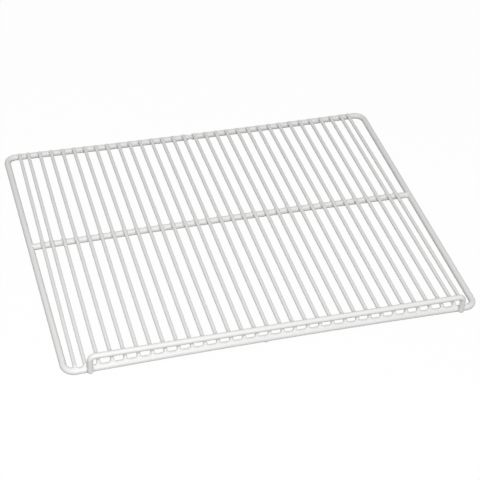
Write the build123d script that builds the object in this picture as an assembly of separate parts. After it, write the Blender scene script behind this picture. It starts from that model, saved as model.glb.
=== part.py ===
from build123d import *
import os

# A coated wire refrigerator shelf: a bent ring of heavy wire, one support bar across its middle,
# a deck of thin wires from front to back and a low gate along the front edge.
# Millimetres, +X to the right, +Y to the back, +Z up, origin under the middle of the whole shelf.

# Outer frame, its widths taken where the rails drawn on would meet the front and back bars
front_width = 625.1
back_flare = 15.7
frame_depth = 527.6
frame_wire_diameter = 10.0
corner_bend_radius = 16.0

# Butt weld that closes the ring in the middle of the back bar
weld_groove_width = 7.0
weld_groove_depth = 1.8

# Support bar under the middle of the deck, a little thinner than the frame it is fitted into
mid_bar_thinner_by = 0.2
mid_bar_from_front = 278.5

# Deck wires, their row a little left of the frame's middle
deck_wire_diameter = 5.8
deck_wire_pitch = 19.05
deck_side_shift = -2.9
outer_wire_inset = 17.1
smallest_end_gap = 12.0
front_end_overhang = 0.3
back_end_inset = 1.2
deck_set_down = 1.2
deck_seat_clearance = 0.6

# Front lip
lip_wire_diameter = 8.6
lip_rise = 31.1
lip_inset = 30.4
lip_side_shift = 3.3
lip_bend_radius = 11.0
lip_tip_drop = 0.3
lip_tip_bevel = 1.3
lip_set_down = 1.6

# Largest share of the lip wire's radius that the bevel of its tips may take
bevel_share = 0.8

# Widths, radii and levels
back_width = front_width + back_flare
mid_bar_diameter = frame_wire_diameter - mid_bar_thinner_by
frame_radius = frame_wire_diameter / 2
mid_bar_radius = mid_bar_diameter / 2
deck_radius = deck_wire_diameter / 2
lip_radius = lip_wire_diameter / 2
frame_axis_z = frame_radius
frame_top_z = frame_wire_diameter
mid_bar_z = frame_top_z - mid_bar_radius
deck_axis_z = frame_top_z + deck_radius - deck_set_down

# Places in plan: the lip stands in front of the frame, and the shelf's middle takes it in
lip_standoff = frame_radius + lip_radius - lip_set_down
lip_reach = lip_standoff + lip_radius - frame_radius
back_y = (frame_depth + lip_reach) / 2 - frame_radius
front_y = back_y - frame_depth + frame_wire_diameter
mid_bar_y = front_y + mid_bar_from_front
lip_y = front_y - lip_standoff
front_rail_x = front_width / 2 - frame_radius
back_rail_x = back_width / 2 - frame_radius


def rail_x(y):
    """Distance of a rail's axis from the middle, at a given place between front and back."""
    share = (y - front_y) / (back_y - front_y)
    return front_rail_x + (back_rail_x - front_rail_x) * share


def wire_along(path, diameter):
    """A round wire that follows a path."""
    section = Plane(origin=path @ 0, z_dir=path % 0) * Circle(diameter / 2)
    return sweep(section, path=path)


def butt_weld():
    """The short length of wire that closes the ring, with a groove where its two ends meet."""
    half = weld_groove_width / 2
    groove_bottom = (0, frame_radius - weld_groove_depth)
    outline = [(half, 0), (half, frame_radius), groove_bottom, (-half, frame_radius), (-half, 0)]
    profile = Plane.XZ * make_face(Polyline(*outline, close=True))
    return Pos(0, back_y, frame_axis_z) * revolve(profile, Axis.X)


def outer_frame():
    """The bent ring: from the weld around all four corners and back to the weld."""
    half = weld_groove_width / 2
    corners = [
        (half, back_y, frame_axis_z),
        (back_rail_x, back_y, frame_axis_z),
        (front_rail_x, front_y, frame_axis_z),
        (-front_rail_x, front_y, frame_axis_z),
        (-back_rail_x, back_y, frame_axis_z),
        (-half, back_y, frame_axis_z),
    ]
    ring = wire_along(FilletPolyline(*corners, radius=corner_bend_radius), frame_wire_diameter)
    return ring + butt_weld()


def mid_support_bar(frame):
    """A straight bar from rail to rail, its ends coped to the round of the rails."""
    reach = rail_x(mid_bar_y)
    axis = Line((-reach, mid_bar_y, mid_bar_z), (reach, mid_bar_y, mid_bar_z))
    return wire_along(axis, mid_bar_diameter) - frame


def deck_seat(x, y, bar_radius):
    """The room a bar takes from a deck wire's underside: a flat, as long as the bar reaches into the wire."""
    half_length = (deck_set_down * (2 * bar_radius - deck_set_down)) ** 0.5 + deck_seat_clearance
    return Pos(x, y, frame_top_z - deck_radius) * Box(deck_wire_diameter, 2 * half_length, deck_wire_diameter)


def deck_wire(x):
    """One deck wire from the front bar to the back bar, with a flat where it rests on each bar."""
    start = (x, front_y - front_end_overhang, deck_axis_z)
    end = (x, back_y - back_end_inset, deck_axis_z)
    wire = wire_along(Line(start, end), deck_wire_diameter)
    bars = [(front_y, frame_radius), (mid_bar_y, mid_bar_radius), (back_y, frame_radius)]
    return wire - [deck_seat(x, y, radius) for y, radius in bars]


def deck_places():
    """Distances of the deck wires from the frame's middle: an even row, and one wire beside each rail."""
    outermost = min(front_rail_x, back_rail_x) - outer_wire_inset
    steps = int((2 * outermost - 2 * smallest_end_gap) // deck_wire_pitch)
    even_row = [(step - steps / 2) * deck_wire_pitch for step in range(steps + 1)]
    return [deck_side_shift + place for place in (-outermost, *even_row, outermost)]


def front_lip(frame):
    """The gate along the front: up from a leg's bevelled tip, across and down again, seated on the bar."""
    reach = front_rail_x - lip_inset
    left = lip_side_shift - reach
    right = lip_side_shift + reach
    tip_z = frame_axis_z - lip_tip_drop
    top_z = frame_axis_z + lip_rise
    corners = [(left, lip_y, tip_z), (left, lip_y, top_z), (right, lip_y, top_z), (right, lip_y, tip_z)]
    gate = wire_along(FilletPolyline(*corners, radius=lip_bend_radius), lip_wire_diameter)
    tips = gate.faces().filter_by(GeomType.PLANE)
    return chamfer(tips.edges(), min(lip_tip_bevel, bevel_share * lip_radius)) - frame


def build_shelf():
    """Every piece of the shelf by name."""
    frame = outer_frame()
    mid_bar = mid_support_bar(frame)
    pieces = {"outer_frame": frame, "mid_support_bar": mid_bar, "front_lip": front_lip(frame)}
    for number, x in enumerate(deck_places(), start=1):
        pieces[f"deck_wire_{number:02d}"] = deck_wire(x)
    return pieces


os.makedirs("parts", exist_ok=True)
for name, piece in build_shelf().items():
    export_step(piece, f"parts/{name}.step")
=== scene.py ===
import math
import random

import bpy
from mathutils import Matrix, Vector


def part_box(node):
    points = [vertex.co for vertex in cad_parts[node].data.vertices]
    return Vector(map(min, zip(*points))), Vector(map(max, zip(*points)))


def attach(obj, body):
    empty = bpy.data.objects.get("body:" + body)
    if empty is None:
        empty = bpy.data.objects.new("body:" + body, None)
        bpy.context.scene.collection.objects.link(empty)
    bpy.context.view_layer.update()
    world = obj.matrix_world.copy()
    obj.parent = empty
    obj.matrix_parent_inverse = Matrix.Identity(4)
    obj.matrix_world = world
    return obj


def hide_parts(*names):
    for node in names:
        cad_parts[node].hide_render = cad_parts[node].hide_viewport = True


# A white coated wire refrigerator shelf: a bent ring of heavy wire, a support bar, a deck of thin wires
# and a lip.
# Metres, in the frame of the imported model: +X to the right, +Y to the back, +Z up.

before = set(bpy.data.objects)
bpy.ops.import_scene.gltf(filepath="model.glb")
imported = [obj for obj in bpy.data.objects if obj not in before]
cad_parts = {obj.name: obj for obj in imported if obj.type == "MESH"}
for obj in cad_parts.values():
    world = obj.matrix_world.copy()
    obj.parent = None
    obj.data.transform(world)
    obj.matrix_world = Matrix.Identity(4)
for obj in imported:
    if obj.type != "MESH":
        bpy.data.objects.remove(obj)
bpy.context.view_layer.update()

MM = 0.001

# Outer ring
FRONT_WIDTH = 625.1 * MM
BACK_WIDTH = 640.8 * MM
RING_BEND = 16.0 * MM
WELD_REACH = 4.0 * MM
WELD_DIP = 0.40

# Bends of the lip, as tight as the photograph shows them
LIP_BEND = 7.5 * MM

# Coating: unevenness of its thickness with the mean it takes off, and the webs in the corners between wires
UNEVEN_DEPTH = 0.10 * MM
UNEVEN_LENGTH = 14.0 * MM
UNEVEN_DETAIL = 1.0
MEAN_LOSS = UNEVEN_DEPTH / 2
WEB_ROUND = 2.6 * MM
LIP_WEB_ROUND = 2.6 * MM
RAIL_WEB_ROUND = 2.8 * MM
WEB_TUCK = 0.5 * MM
WEB_SINK = 0.11 * MM
WEB_STEPS = 28
WEB_ARC_STEPS = 4

# Where a web closes inside the bar, as a share of the way from the bar's axis to the wire's
WEB_CORE = 0.4

# Drop of coating under the front bar
DROP_X = -19.0 * MM
DROP_ANGLE = -49.0
DROP_HEIGHT = 1.3 * MM
DROP_REACH = 2.2 * MM
DROP_FADE = 3.0

# Bow of the used shelf: how far the middle of each bar stands above its ends, and the back corners' lift
FRONT_BOW = 4.2 * MM
MIDDLE_BOW = 2.7 * MM
BACK_BOW = -2.4 * MM
BACK_LIFT = 2.4 * MM

# Lean of the lip: how far its middle stands lower, and how much lower still its right end is
LIP_SAG = 0.6 * MM
LIP_LEAN = 0.6 * MM

# How far a deck wire may stray from its even place where it crosses a bar
WIRE_STRAY = 0.35 * MM
STRAY_SEED = 11
BARS_CROSSED = 3

# Seeds of the uneven coating, the deck wires counting on from theirs
RING_SEED = 1
BAR_SEED = 2
LIP_SEED = 3
DECK_SEED = 10

# Free tips: share of the thickness that is lost at the very end
TIP_DEPTH = 0.98

# Look of the coating: slow changes of tone and roughness, and a fine grain
TONE_SCALE = 45.0
TONE_DETAIL = 3.0
LIGHT_TONE = (0.875, 0.875, 0.868, 1.0)
DARK_TONE = (0.845, 0.845, 0.835, 1.0)
ROUGHNESS_LOW = 0.34
ROUGHNESS_HIGH = 0.46
PEBBLE_SCALE = 1400.0
PEBBLE_DETAIL = 2.0
PEBBLE_SHARE = 0.35
WAVE_SCALE = 260.0
WAVE_DETAIL = 1.0
GRAIN_STRENGTH = 0.25
GRAIN_HEIGHT = 0.12 * MM
COATING_IOR = 1.5
COATING_SPECULAR = 0.2

# Fineness of the meshes, and how strongly a wire's rings gather at its ends
RING_SIDES = 28
RING_COUNT = 1600
RING_GATHER = 0.6
LIP_COUNT = 300
LIP_GATHER = 0.85
BAR_COUNT = 170
DECK_SIDES = 20
DECK_COUNT = 112
DECK_GATHER = 0.9
BEND_STEPS = 24
HALVINGS = 40
MERGE_REACH = 0.01 * MM

# Camera, fitted to the straight lines of the photograph
CAMERA_PLACE = Vector((-482.2, -1533.4, 1284.3)) * MM
CAMERA_TARGET = Vector((7.5, -28.3, 5.0)) * MM
CAMERA_ROLL = 3.35
CAMERA_FOCUS_PIXELS = 1302.5
PICTURE_PIXELS = 480.0
SENSOR_WIDTH = 36.0
VIEW_REACH = 50.0

# Light
KEY_PLACE = Vector((-0.42, -1.95, 1.75))
KEY_TARGET = Vector((-1.2, 1.6, 0.0))
KEY_SIZE = 0.5
KEY_POWER = 46.5
AMBIENT = 0.40
FLOOR_HALF = 6.0
FLOOR_PAINT = 0.15
FLOOR_SHADE = 0.045
WHITE = (1.0, 1.0, 1.0, 1.0)


def node_box(name):
    """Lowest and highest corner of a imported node."""
    low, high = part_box(name)
    return Vector(low), Vector(high)


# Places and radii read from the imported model
ring_low, ring_high = node_box("outer_frame")
bar_low, bar_high = node_box("mid_support_bar")
lip_low, lip_high = node_box("front_lip")
deck_names = sorted(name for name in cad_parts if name.startswith("deck_wire_"))
deck_low, deck_high = node_box(deck_names[0])
ring_radius = (ring_high.z - ring_low.z) / 2
bar_radius = (bar_high.z - bar_low.z) / 2
deck_radius = (deck_high.x - deck_low.x) / 2
lip_radius = (lip_high.y - lip_low.y) / 2
ring_z = (ring_low.z + ring_high.z) / 2
bar_z = (bar_low.z + bar_high.z) / 2
deck_z = deck_high.z - deck_radius
lip_z = lip_high.z - lip_radius
front_y = ring_low.y + ring_radius
back_y = ring_high.y - ring_radius
bar_y = (bar_low.y + bar_high.y) / 2
lip_y = (lip_low.y + lip_high.y) / 2
front_rail_x = FRONT_WIDTH / 2 - ring_radius
back_rail_x = BACK_WIDTH / 2 - ring_radius


def rail_x(y):
    """Distance of a rail's axis from the middle, at a place between front and back."""
    share = (y - front_y) / (back_y - front_y)
    return front_rail_x + (back_rail_x - front_rail_x) * share


def clamped(share):
    """A share held between 0 and 1."""
    return min(max(share, 0.0), 1.0)


def new_tree(name, sockets):
    """An empty geometry tree with named inputs and one geometry output."""
    tree = bpy.data.node_groups.new(name, "GeometryNodeTree")
    tree.interface.new_socket("Geometry", in_out="INPUT", socket_type="NodeSocketGeometry")
    for label, kind in sockets:
        tree.interface.new_socket(label, in_out="INPUT", socket_type=kind)
    tree.interface.new_socket("Geometry", in_out="OUTPUT", socket_type="NodeSocketGeometry")
    return tree


def wired(tree, kind, inputs=None, **settings):
    """Adds a node, sets its properties, and links or sets its inputs by name or number."""
    node = tree.nodes.new(kind)
    for key, value in settings.items():
        setattr(node, key, value)
    for key, value in (inputs or {}).items():
        if isinstance(value, bpy.types.NodeSocket):
            tree.links.new(value, node.inputs[key])
        else:
            node.inputs[key].default_value = value
    return node


def maths(tree, operation, first, second=0.0):
    """One step of arithmetic on sockets or plain numbers."""
    node = wired(tree, "ShaderNodeMath", {0: first, 1: second}, operation=operation)
    return node.outputs[0]


def end_distance(tree, length_along, whole_length):
    """Distance along a wire to the nearer of its two ends."""
    from_far_end = maths(tree, "SUBTRACT", whole_length, length_along)
    return maths(tree, "MINIMUM", length_along, from_far_end)


def dome_profile(tree, to_end, reach, depth):
    """Thickness near a free end: a round dome, depth being the share that is lost at the very tip."""
    share = maths(tree, "MINIMUM", maths(tree, "DIVIDE", to_end, reach), 1.0)
    left = maths(tree, "SUBTRACT", 1.0, share)
    height = maths(tree, "SQRT", maths(tree, "SUBTRACT", 1.0, maths(tree, "MULTIPLY", left, left)))
    lost = maths(tree, "MULTIPLY", maths(tree, "SUBTRACT", 1.0, height), depth)
    return maths(tree, "SUBTRACT", 1.0, lost)


def dip_profile(tree, to_end, reach, depth):
    """Thickness near a butt weld: a smooth dip, depth being the share that is lost at the weld."""
    share = maths(tree, "MINIMUM", maths(tree, "DIVIDE", to_end, reach), 1.0)
    wave = maths(tree, "COSINE", maths(tree, "MULTIPLY", share, math.pi))
    bell = maths(tree, "MULTIPLY", maths(tree, "ADD", wave, 1.0), 0.5)
    return maths(tree, "SUBTRACT", 1.0, maths(tree, "MULTIPLY", bell, depth))


def coated_wire_tree(name, end_profile):
    """Bends a line of straight runs, gathers its points at the ends, and draws a coated wire along it."""
    number, whole = "NodeSocketFloat", "NodeSocketInt"
    sockets = [("Wire Radius", number), ("Bend Radius", number), ("Rings", whole), ("Sides", whole),
               ("End Reach", number), ("End Depth", number), ("End Gather", number),
               ("Close Ends", "NodeSocketBool"), ("Uneven Depth", number), ("Uneven Scale", number),
               ("Seed", number), ("Coating", "NodeSocketMaterial")]
    tree = new_tree(name, sockets)
    given = tree.nodes.new("NodeGroupInput").outputs
    bent = wired(tree, "GeometryNodeFilletCurve",
                 {"Curve": given["Geometry"], "Radius": given["Bend Radius"], "Count": BEND_STEPS,
                  "Limit Radius": True}, mode="POLY")
    length = wired(tree, "GeometryNodeCurveLength", {"Curve": bent.outputs[0]}).outputs[0]
    even = wired(tree, "GeometryNodeResampleCurve", {"Curve": bent.outputs[0], "Count": given["Rings"]},
                 mode="COUNT")
    measure = tree.nodes.new("GeometryNodeSplineParameter").outputs
    factor = measure["Factor"]
    turn = maths(tree, "MULTIPLY", factor, 2 * math.pi)
    pull = maths(tree, "MULTIPLY", maths(tree, "SINE", turn), given["End Gather"])
    gathered = maths(tree, "SUBTRACT", factor, maths(tree, "DIVIDE", pull, 2 * math.pi))
    along = maths(tree, "MULTIPLY", gathered, length)
    spot = wired(tree, "GeometryNodeSampleCurve", {"Curves": bent.outputs[0], "Length": along},
                 mode="LENGTH").outputs["Position"]
    placed = wired(tree, "GeometryNodeSetPosition", {"Geometry": even.outputs[0], "Position": spot})
    to_end = end_distance(tree, measure["Length"], length)
    thickness = end_profile(tree, to_end, given["End Reach"], given["End Depth"])
    kept = wired(tree, "GeometryNodeSetCurveRadius", {"Curve": placed.outputs[0], "Radius": thickness})
    circle = wired(tree, "GeometryNodeCurvePrimitiveCircle",
                   {"Resolution": given["Sides"], "Radius": given["Wire Radius"]}, mode="RADIUS")
    radius = tree.nodes.new("GeometryNodeInputRadius").outputs[0]
    tube = wired(tree, "GeometryNodeCurveToMesh",
                 {"Curve": kept.outputs[0], "Profile Curve": circle.outputs[0], "Scale": radius,
                  "Fill Caps": given["Close Ends"]})
    closed = wired(tree, "GeometryNodeMergeByDistance",
                   {"Geometry": tube.outputs[0], "Distance": MERGE_REACH})
    uneven = uneven_coating(tree, closed.outputs[0], given)
    smooth = wired(tree, "GeometryNodeSetShadeSmooth", {"Geometry": uneven})
    finish_tree(tree, smooth.outputs[0], given["Coating"])
    return tree


def uneven_coating(tree, geometry, given):
    """Thins the coating a little here and there, never past the wire's full size."""
    noise = wired(tree, "ShaderNodeTexNoise",
                  {"W": given["Seed"], "Scale": given["Uneven Scale"], "Detail": UNEVEN_DETAIL},
                  noise_dimensions="4D")
    normal = tree.nodes.new("GeometryNodeInputNormal").outputs[0]
    inward = maths(tree, "MULTIPLY", maths(tree, "MULTIPLY", noise.outputs[0], given["Uneven Depth"]), -1.0)
    offset = wired(tree, "ShaderNodeVectorMath", {0: normal, "Scale": inward}, operation="SCALE")
    moved = wired(tree, "GeometryNodeSetPosition", {"Geometry": geometry, "Offset": offset.outputs[0]})
    return moved.outputs[0]


def finish_tree(tree, geometry, coating):
    """Ends a tree in real geometry with its material."""
    real = wired(tree, "GeometryNodeRealizeInstances", {"Geometry": geometry})
    coated = wired(tree, "GeometryNodeSetMaterial", {"Geometry": real.outputs[0], "Material": coating})
    output = tree.nodes.new("NodeGroupOutput")
    tree.links.new(coated.outputs[0], output.inputs[0])


def web_row_tree():
    """Places one coating web at every point of a row."""
    tree = new_tree("web_row", [("Web", "NodeSocketObject"), ("Coating", "NodeSocketMaterial")])
    given = tree.nodes.new("NodeGroupInput").outputs
    web = wired(tree, "GeometryNodeObjectInfo", {"Object": given["Web"]})
    row = wired(tree, "GeometryNodeInstanceOnPoints",
                {"Points": given["Geometry"], "Instance": web.outputs["Geometry"]})
    finish_tree(tree, row.outputs[0], given["Coating"])
    return tree


def bow_height(place):
    """How far the bowed deck stands above the straight one at a place."""
    if place.y < bar_y:
        share = clamped((bar_y - place.y) / (bar_y - front_y))
        rise = MIDDLE_BOW + (FRONT_BOW - MIDDLE_BOW) * share
    else:
        share = clamped((place.y - bar_y) / (back_y - bar_y))
        rise = MIDDLE_BOW + (BACK_BOW - MIDDLE_BOW) * share
    from_middle = clamped(abs(place.x) / front_rail_x)
    lift = BACK_LIFT * clamped((place.y - front_y) / (back_y - front_y))
    return lift + rise * (1.0 - from_middle * from_middle)


def bow(mesh):
    """Lifts a mesh by the bow of the deck."""
    for vertex in mesh.vertices:
        vertex.co.z += bow_height(vertex.co)
    mesh.update()


def made_by_tree(name, carrier, tree, values):
    """Runs a tree on a carrier object and returns the result as a plain mesh object."""
    bpy.context.scene.collection.objects.link(carrier)
    modifier = carrier.modifiers.new("tree", "NODES")
    modifier.node_group = tree
    for item in tree.interface.items_tree:
        if item.in_out == "INPUT" and item.name in values:
            modifier[item.identifier] = values[item.name]
    graph = bpy.context.evaluated_depsgraph_get()
    mesh = bpy.data.meshes.new_from_object(carrier.evaluated_get(graph), depsgraph=graph)
    bpy.data.objects.remove(carrier)
    mesh.name = name
    piece = bpy.data.objects.new(name, mesh)
    bpy.context.scene.collection.objects.link(piece)
    return piece


def kept_piece(piece, *nodes):
    """Makes a finished piece part of the shelf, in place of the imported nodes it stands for."""
    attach(piece, "root")
    if nodes:
        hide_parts(*nodes)


def line_carrier(corners):
    """A line of straight runs for a tree to follow."""
    curve = bpy.data.curves.new("run", "CURVE")
    curve.dimensions = "3D"
    spline = curve.splines.new("POLY")
    spline.points.add(len(corners) - 1)
    for point, corner in zip(spline.points, corners):
        point.co = (*corner, 1.0)
    return bpy.data.objects.new("run", curve)


def point_carrier(places):
    """A row of loose points for a tree to place things on."""
    mesh = bpy.data.meshes.new("row")
    mesh.from_pydata(places, [], [])
    return bpy.data.objects.new("row", mesh)


def wire_values(radius, rings, sides, coating, seed,
                bend=0.0, reach=0.0, depth=0.0, gather=0.0, closed=True):
    """Input values of the coated wire trees."""
    return {"Wire Radius": radius, "Bend Radius": bend, "Rings": rings, "Sides": sides, "End Reach": reach,
            "End Depth": depth, "End Gather": gather, "Close Ends": closed, "Uneven Depth": UNEVEN_DEPTH,
            "Uneven Scale": 1.0 / UNEVEN_LENGTH, "Seed": float(seed), "Coating": coating}


def rolled_loop(bar, wire, level, ball, low_end, high_end):
    """Centres of a ball that rolls round a crossing, each with the nearest points of both axes.

    The bar lies along X through the origin, the wire along Y at the given level. An end is the centre of
    the dome that closes the wire there, or None where the wire runs on.
    """
    def axis_point(y):
        if low_end is not None and y < low_end:
            return low_end
        if high_end is not None and y > high_end:
            return high_end
        return y

    def side_squared(angle):
        y = (bar + ball) * math.sin(angle)
        z = (bar + ball) * math.cos(angle)
        return (wire + ball) ** 2 - (z - level) ** 2 - (y - axis_point(y)) ** 2

    def last_angle(sign):
        inside, outside = 0.0, sign * math.pi / 2
        for _ in range(HALVINGS):
            middle = (inside + outside) / 2
            if side_squared(middle) > 0:
                inside = middle
            else:
                outside = middle
        return inside

    first, last = last_angle(-1), last_angle(1)
    loop = []
    for step in range(WEB_STEPS):
        turn = 2 * math.pi * step / WEB_STEPS
        angle = (first + last) / 2 - (last - first) / 2 * math.cos(turn)
        side = math.copysign(math.sqrt(max(side_squared(angle), 0.0)), math.sin(turn))
        centre = Vector((side, (bar + ball) * math.sin(angle), (bar + ball) * math.cos(angle)))
        loop.append((centre, Vector((centre.x, 0, 0)), Vector((0, axis_point(centre.y), level))))
    return loop


def rail_loop(rail, bar, level, ball):
    """Centres of a ball that rolls round a bar where it runs into a rail along Y, the bar lying towards -X.

    The steps pass by the very top, where bar and rail are level and leave no room for a web.
    """
    loop = []
    for step in range(WEB_STEPS):
        turn = 2 * math.pi * (step + 0.5) / WEB_STEPS
        y = (bar + ball) * math.cos(turn)
        z = level + (bar + ball) * math.sin(turn)
        x = -math.sqrt(max((rail + ball) ** 2 - z * z, 0.0))
        loop.append((Vector((x, y, z)), Vector((0, y, 0)), Vector((x, 0, level))))
    return loop


def web_section(centre, bar_axis, wire_axis, ball):
    """One section of a web: from under the bar's skin along the ball to under the wire's skin, and the core."""
    to_bar = (bar_axis - centre).normalized()
    to_wire = (wire_axis - centre).normalized()
    opening = to_bar.angle(to_wire, 0.0)
    turn_axis = to_bar.cross(to_wire).normalized()
    arc = []
    for step in range(WEB_ARC_STEPS + 1):
        ray = Matrix.Rotation(opening * step / WEB_ARC_STEPS, 3, turn_axis) @ to_bar
        arc.append(centre + ray * ball)
    back = turn_axis.cross(to_bar) * -WEB_TUCK
    ahead = turn_axis.cross(to_wire) * WEB_TUCK
    core = bar_axis.lerp(wire_axis, WEB_CORE)
    return [arc[0] + back + to_bar * WEB_SINK, *arc, arc[-1] + ahead + to_wire * WEB_SINK, core]


def web_object(name, loop, ball):
    """The closed web round a loop of ball centres, as a helper object."""
    sections = [web_section(centre, bar_axis, wire_axis, ball) for centre, bar_axis, wire_axis in loop]
    width = len(sections[0])
    points = [point for section in sections for point in section]
    faces, smooth = [], []
    for step in range(len(sections)):
        here, there = step * width, (step + 1) % len(sections) * width
        for across in range(width):
            beside = (across + 1) % width
            faces.append((here + across, here + beside, there + beside, there + across))
            # The two faces that close the web inside the bar stay flat
            smooth.append(across < width - 2)
    mesh = bpy.data.meshes.new(name)
    mesh.from_pydata(points, [], faces)
    # The round of a web faces the ball that made it
    ball_centre = loop[0][0]
    probe = mesh.polygons[WEB_ARC_STEPS // 2 + 1]
    if probe.normal.dot(ball_centre - probe.center) < 0:
        mesh.flip_normals()
    mesh.polygons.foreach_set("use_smooth", smooth)
    return bpy.data.objects.new(name, mesh)


def turned(web, matrix):
    """Turns a helper web in place."""
    web.data.transform(matrix)
    return web


def grain_group():
    """Fine pebbling of a sprayed and baked coating, with soft larger waves, as a height."""
    group = bpy.data.node_groups.new("coating_grain", "ShaderNodeTree")
    for label in ("Pebble Scale", "Wave Scale"):
        group.interface.new_socket(label, in_out="INPUT", socket_type="NodeSocketFloat")
    group.interface.new_socket("Height", in_out="OUTPUT", socket_type="NodeSocketFloat")
    given = group.nodes.new("NodeGroupInput").outputs
    place = group.nodes.new("ShaderNodeTexCoord").outputs["Object"]
    pebble = wired(group, "ShaderNodeTexNoise",
                   {"Vector": place, "Scale": given["Pebble Scale"], "Detail": PEBBLE_DETAIL})
    wave = wired(group, "ShaderNodeTexNoise",
                 {"Vector": place, "Scale": given["Wave Scale"], "Detail": WAVE_DETAIL})
    both = maths(group, "ADD", maths(group, "MULTIPLY", pebble.outputs[0], PEBBLE_SHARE), wave.outputs[0])
    output = group.nodes.new("NodeGroupOutput")
    group.links.new(both, output.inputs["Height"])
    return group


def tone_group():
    """Slow changes of tone and gloss along a coated wire."""
    group = bpy.data.node_groups.new("coating_tone", "ShaderNodeTree")
    for label in ("Tone Scale", "Roughness Low", "Roughness High"):
        group.interface.new_socket(label, in_out="INPUT", socket_type="NodeSocketFloat")
    for label in ("Light Tone", "Dark Tone"):
        group.interface.new_socket(label, in_out="INPUT", socket_type="NodeSocketColor")
    group.interface.new_socket("Color", in_out="OUTPUT", socket_type="NodeSocketColor")
    group.interface.new_socket("Roughness", in_out="OUTPUT", socket_type="NodeSocketFloat")
    given = group.nodes.new("NodeGroupInput").outputs
    place = group.nodes.new("ShaderNodeTexCoord").outputs["Object"]
    cloud = wired(group, "ShaderNodeTexNoise",
                  {"Vector": place, "Scale": given["Tone Scale"], "Detail": TONE_DETAIL}).outputs[0]
    # A Mix node's sockets share their names, so its two colours and its result are taken by number
    colour = wired(group, "ShaderNodeMix",
                   {"Factor": cloud, 6: given["Dark Tone"], 7: given["Light Tone"]}, data_type="RGBA")
    gloss = wired(group, "ShaderNodeMapRange",
                  {"Value": cloud, "To Min": given["Roughness Low"], "To Max": given["Roughness High"]})
    output = group.nodes.new("NodeGroupOutput")
    group.links.new(colour.outputs[2], output.inputs["Color"])
    group.links.new(gloss.outputs[0], output.inputs["Roughness"])
    return group


def white_coating():
    """Thick white baked coating over steel wire, semi-gloss."""
    material = bpy.data.materials.new("white_coating")
    material.use_nodes = True
    tree = material.node_tree
    shader = tree.nodes["Principled BSDF"]
    tone = wired(tree, "ShaderNodeGroup",
                 {"Tone Scale": TONE_SCALE, "Light Tone": LIGHT_TONE, "Dark Tone": DARK_TONE,
                  "Roughness Low": ROUGHNESS_LOW, "Roughness High": ROUGHNESS_HIGH}, node_tree=tone_group())
    grain = wired(tree, "ShaderNodeGroup",
                  {"Pebble Scale": PEBBLE_SCALE, "Wave Scale": WAVE_SCALE}, node_tree=grain_group())
    bump = wired(tree, "ShaderNodeBump",
                 {"Height": grain.outputs["Height"], "Strength": GRAIN_STRENGTH, "Distance": GRAIN_HEIGHT})
    tree.links.new(tone.outputs["Color"], shader.inputs["Base Color"])
    tree.links.new(tone.outputs["Roughness"], shader.inputs["Roughness"])
    tree.links.new(bump.outputs[0], shader.inputs["Normal"])
    shader.inputs["IOR"].default_value = COATING_IOR
    shader.inputs["Specular IOR Level"].default_value = COATING_SPECULAR
    return material


def make_ring(tree, coating):
    """The outer ring, drawn from the butt weld in the back bar round all four corners to the weld again."""
    corners = [(0, back_y, ring_z), (back_rail_x, back_y, ring_z), (front_rail_x, front_y, ring_z),
               (-front_rail_x, front_y, ring_z), (-back_rail_x, back_y, ring_z), (0, back_y, ring_z)]
    values = wire_values(ring_radius, RING_COUNT, RING_SIDES, coating, seed=RING_SEED, bend=RING_BEND,
                         reach=WELD_REACH, depth=WELD_DIP, gather=RING_GATHER, closed=False)
    ring = made_by_tree("outer_ring", line_carrier(corners), tree, values)
    add_drop(ring.data)
    bow(ring.data)
    kept_piece(ring, "outer_frame")


def add_drop(mesh):
    """Raises a small drop of coating on the lower front of the front bar."""
    angle = math.radians(DROP_ANGLE)
    out = Vector((0, -math.cos(angle), math.sin(angle)))
    tip = Vector((DROP_X, front_y, ring_z)) + out * ring_radius
    for vertex in mesh.vertices:
        away = (vertex.co - tip).length / DROP_REACH
        if away < DROP_FADE:
            vertex.co += out * (DROP_HEIGHT * math.exp(-away * away))
    mesh.update()


def make_support_bar(tree, coating):
    """The straight support bar, its ends inside the rails."""
    reach = rail_x(bar_y)
    corners = [(-reach, bar_y, bar_z), (reach, bar_y, bar_z)]
    values = wire_values(bar_radius, BAR_COUNT, RING_SIDES, coating, seed=BAR_SEED)
    support_bar = made_by_tree("support_bar", line_carrier(corners), tree, values)
    bow(support_bar.data)
    kept_piece(support_bar, "mid_support_bar")


def make_lip(tree, coating):
    """The gate along the front, with round tips on its two legs."""
    left, right = lip_low.x + lip_radius, lip_high.x - lip_radius
    tip_z = lip_low.z
    corners = [(left, lip_y, tip_z), (left, lip_y, lip_z), (right, lip_y, lip_z), (right, lip_y, tip_z)]
    values = wire_values(lip_radius, LIP_COUNT, RING_SIDES, coating, seed=LIP_SEED, bend=LIP_BEND,
                         reach=lip_radius, depth=TIP_DEPTH, gather=LIP_GATHER)
    gate = made_by_tree("front_gate", line_carrier(corners), tree, values)
    lean(gate.data, right)
    kept_piece(gate, "front_lip")


def lean(mesh, end_x):
    """Lowers the top of the lip, more to the right, and leaves its tips where they are."""
    for vertex in mesh.vertices:
        height = clamped((vertex.co.z - ring_z) / (lip_z - ring_z))
        vertex.co.z -= height * (LIP_SAG + LIP_LEAN * vertex.co.x / end_x)
    mesh.update()


def deck_crossings():
    """Where each deck wire crosses the front, middle and back bar, a little off its even place."""
    dice = random.Random(STRAY_SEED)
    crossings = {}
    for name in deck_names:
        low, high = node_box(name)
        middle = (low.x + high.x) / 2
        crossings[name] = [middle + dice.uniform(-WIRE_STRAY, WIRE_STRAY) for _ in range(BARS_CROSSED)]
    return crossings


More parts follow.
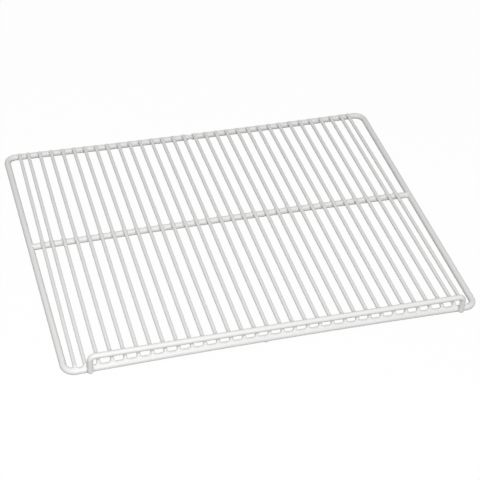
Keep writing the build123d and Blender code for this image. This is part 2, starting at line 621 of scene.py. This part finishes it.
def make_deck(tree, coating, crossings):
    """The deck wires, each a little bent between the bars as it was welded."""
    for number, (name, places) in enumerate(crossings.items()):
        low, high = node_box(name)
        corners = [(places[0], low.y, deck_z), (places[1], bar_y, deck_z), (places[2], high.y, deck_z)]
        values = wire_values(deck_radius, DECK_COUNT, DECK_SIDES, coating, seed=DECK_SEED + number,
                             reach=deck_radius, depth=TIP_DEPTH, gather=DECK_GATHER)
        wire = made_by_tree(name.replace("deck", "shelf"), line_carrier(corners), tree, values)
        bow(wire.data)
        kept_piece(wire, name)


def make_web_row(name, tree, coating, web, places, on_ring=False):
    """Webs of one kind at all their places."""
    bpy.context.scene.collection.objects.link(web)
    piece = made_by_tree(name, point_carrier(places), tree, {"Web": web, "Coating": coating})
    bpy.data.objects.remove(web)
    if on_ring:
        follow_ring(piece.data)
    bow(piece.data)
    kept_piece(piece)


def follow_ring(mesh):
    """Moves webs along with the ring, where its front corners bend back and where it dips at the weld."""
    bend_start = front_rail_x - RING_BEND
    for vertex in mesh.vertices:
        place = vertex.co
        if place.y < bar_y:
            past = min(max(abs(place.x) - bend_start, 0.0), RING_BEND)
            place.y += RING_BEND - math.sqrt(RING_BEND ** 2 - past ** 2)
        else:
            share = clamped(abs(place.x) / WELD_REACH)
            thickness = 1.0 - WELD_DIP * (1.0 + math.cos(math.pi * share)) / 2
            place.y = back_y + (place.y - back_y) * thickness
            place.z = ring_z + (place.z - ring_z) * thickness
    mesh.update()


def make_webs(tree, coating, crossings):
    """Coating webs in the corners of all joints."""
    low, high = node_box(deck_names[0])
    dome_front = low.y + deck_radius - front_y
    dome_back = high.y - deck_radius - back_y
    rows = [("front_webs", front_y, ring_radius, ring_z, dome_front, None),
            ("middle_webs", bar_y, bar_radius, bar_z, None, None),
            ("back_webs", back_y, ring_radius, ring_z, None, dome_back)]
    for number, (name, y, radius, z, low_end, high_end) in enumerate(rows):
        loop = rolled_loop(radius - MEAN_LOSS, deck_radius - MEAN_LOSS, deck_z - z, WEB_ROUND,
                           low_end, high_end)
        places = [(crossing[number], y, z) for crossing in crossings.values()]
        web = web_object(name + "_form", loop, WEB_ROUND)
        make_web_row(name, tree, coating, web, places, on_ring=y != bar_y)
    make_lip_webs(tree, coating)
    make_rail_webs(tree, coating)


def make_lip_webs(tree, coating):
    """Webs between the front bar and the two legs of the lip, which stand in front of it."""
    dome = lip_low.z + lip_radius - ring_z
    bar, leg = ring_radius - MEAN_LOSS, lip_radius - MEAN_LOSS
    loop = rolled_loop(bar, leg, front_y - lip_y, LIP_WEB_ROUND, dome, None)
    web = turned(web_object("leg_web_form", loop, LIP_WEB_ROUND), Matrix.Rotation(math.pi / 2, 4, "X"))
    places = [(x, front_y, ring_z) for x in (lip_low.x + lip_radius, lip_high.x - lip_radius)]
    make_web_row("leg_webs", tree, coating, web, places)


def make_rail_webs(tree, coating):
    """Webs where the support bar runs into the two rails."""
    reach = rail_x(bar_y)
    slant = math.atan2(back_rail_x - front_rail_x, back_y - front_y)
    for side, name in ((1, "right_rail_web"), (-1, "left_rail_web")):
        loop = rail_loop(ring_radius - MEAN_LOSS, bar_radius - MEAN_LOSS, bar_z - ring_z, RAIL_WEB_ROUND)
        turn = Matrix.Rotation(-side * slant + (0 if side > 0 else math.pi), 4, "Z")
        web = turned(web_object(name + "_form", loop, RAIL_WEB_ROUND), turn)
        make_web_row(name, tree, coating, web, [(side * reach, bar_y, ring_z)])


def seen_directly(tree):
    """1 for rays that come straight from the camera, a gloss or clear glass, and 0 for soft light."""
    path = tree.nodes.new("ShaderNodeLightPath")
    glossy = maths(tree, "MAXIMUM", path.outputs["Is Glossy Ray"], path.outputs["Is Transmission Ray"])
    return maths(tree, "MAXIMUM", path.outputs["Is Camera Ray"], glossy)


def make_floor():
    """A plain pale floor that looks white and keeps a faint shadow."""
    material = bpy.data.materials.new("pale_floor")
    material.use_nodes = True
    tree = material.node_tree
    tree.nodes.clear()
    paint = wired(tree, "ShaderNodeBsdfDiffuse", {"Color": (FLOOR_PAINT, FLOOR_PAINT, FLOOR_PAINT, 1.0)})
    shade = wired(tree, "ShaderNodeBsdfDiffuse", {"Color": WHITE})
    white = wired(tree, "ShaderNodeEmission", {"Color": WHITE, "Strength": 1.0})
    pale = wired(tree, "ShaderNodeMixShader", {0: FLOOR_SHADE, 1: white.outputs[0], 2: shade.outputs[0]})
    seen = seen_directly(tree)
    mix = wired(tree, "ShaderNodeMixShader", {0: seen, 1: paint.outputs[0], 2: pale.outputs[0]})
    output = tree.nodes.new("ShaderNodeOutputMaterial")
    tree.links.new(mix.outputs[0], output.inputs[0])
    mesh = bpy.data.meshes.new("floor")
    side = FLOOR_HALF
    corners = [(-side, -side, 0), (side, -side, 0), (side, side, 0), (-side, side, 0)]
    mesh.from_pydata(corners, [], [(0, 1, 2, 3)])
    mesh.materials.append(material)
    floor = bpy.data.objects.new("floor", mesh)
    bpy.context.scene.collection.objects.link(floor)


def make_world():
    """Even pale surroundings, white where they are seen."""
    world = bpy.data.worlds.new("surroundings")
    world.use_nodes = True
    tree = world.node_tree
    seen = seen_directly(tree)
    strength = maths(tree, "ADD", maths(tree, "MULTIPLY", seen, 1.0 - AMBIENT), AMBIENT)
    background = tree.nodes["Background"]
    background.inputs["Color"].default_value = WHITE
    tree.links.new(strength, background.inputs["Strength"])
    bpy.context.scene.world = world


def make_key_light():
    """One soft light near the camera, turned to the left so that the shelf darkens to the right."""
    light = bpy.data.lights.new("key", "AREA")
    light.shape = "DISK"
    light.size = KEY_SIZE
    light.energy = KEY_POWER
    lamp = bpy.data.objects.new("key", light)
    lamp.location = KEY_PLACE
    lamp.rotation_euler = (KEY_TARGET - KEY_PLACE).to_track_quat("-Z", "Y").to_euler()
    bpy.context.scene.collection.objects.link(lamp)


def make_camera():
    """The photograph's camera."""
    forward = (CAMERA_TARGET - CAMERA_PLACE).normalized()
    right = forward.cross(Vector((0, 0, 1))).normalized()
    up = right.cross(forward)
    roll = math.radians(CAMERA_ROLL)
    level_right = right * math.cos(roll) + up * math.sin(roll)
    level_up = up * math.cos(roll) - right * math.sin(roll)
    lens = bpy.data.cameras.new("camera")
    lens.sensor_width = SENSOR_WIDTH
    lens.lens = CAMERA_FOCUS_PIXELS / PICTURE_PIXELS * SENSOR_WIDTH
    lens.clip_end = VIEW_REACH
    camera = bpy.data.objects.new("camera", lens)
    turn = Matrix((level_right, level_up, -forward)).transposed().to_4x4()
    camera.matrix_world = Matrix.Translation(CAMERA_PLACE) @ turn
    bpy.context.scene.collection.objects.link(camera)
    bpy.context.scene.camera = camera


def make_shelf():
    """All pieces of the shelf."""
    coating = white_coating()
    free_wire = coated_wire_tree("coated_wire", dome_profile)
    welded_ring = coated_wire_tree("welded_ring", dip_profile)
    web_row = web_row_tree()
    crossings = deck_crossings()
    make_ring(welded_ring, coating)
    make_support_bar(free_wire, coating)
    make_lip(free_wire, coating)
    make_deck(free_wire, coating, crossings)
    make_webs(web_row, coating, crossings)


bpy.context.scene.view_settings.view_transform = "Standard"
make_shelf()
make_floor()
make_world()
make_key_light()
make_camera()
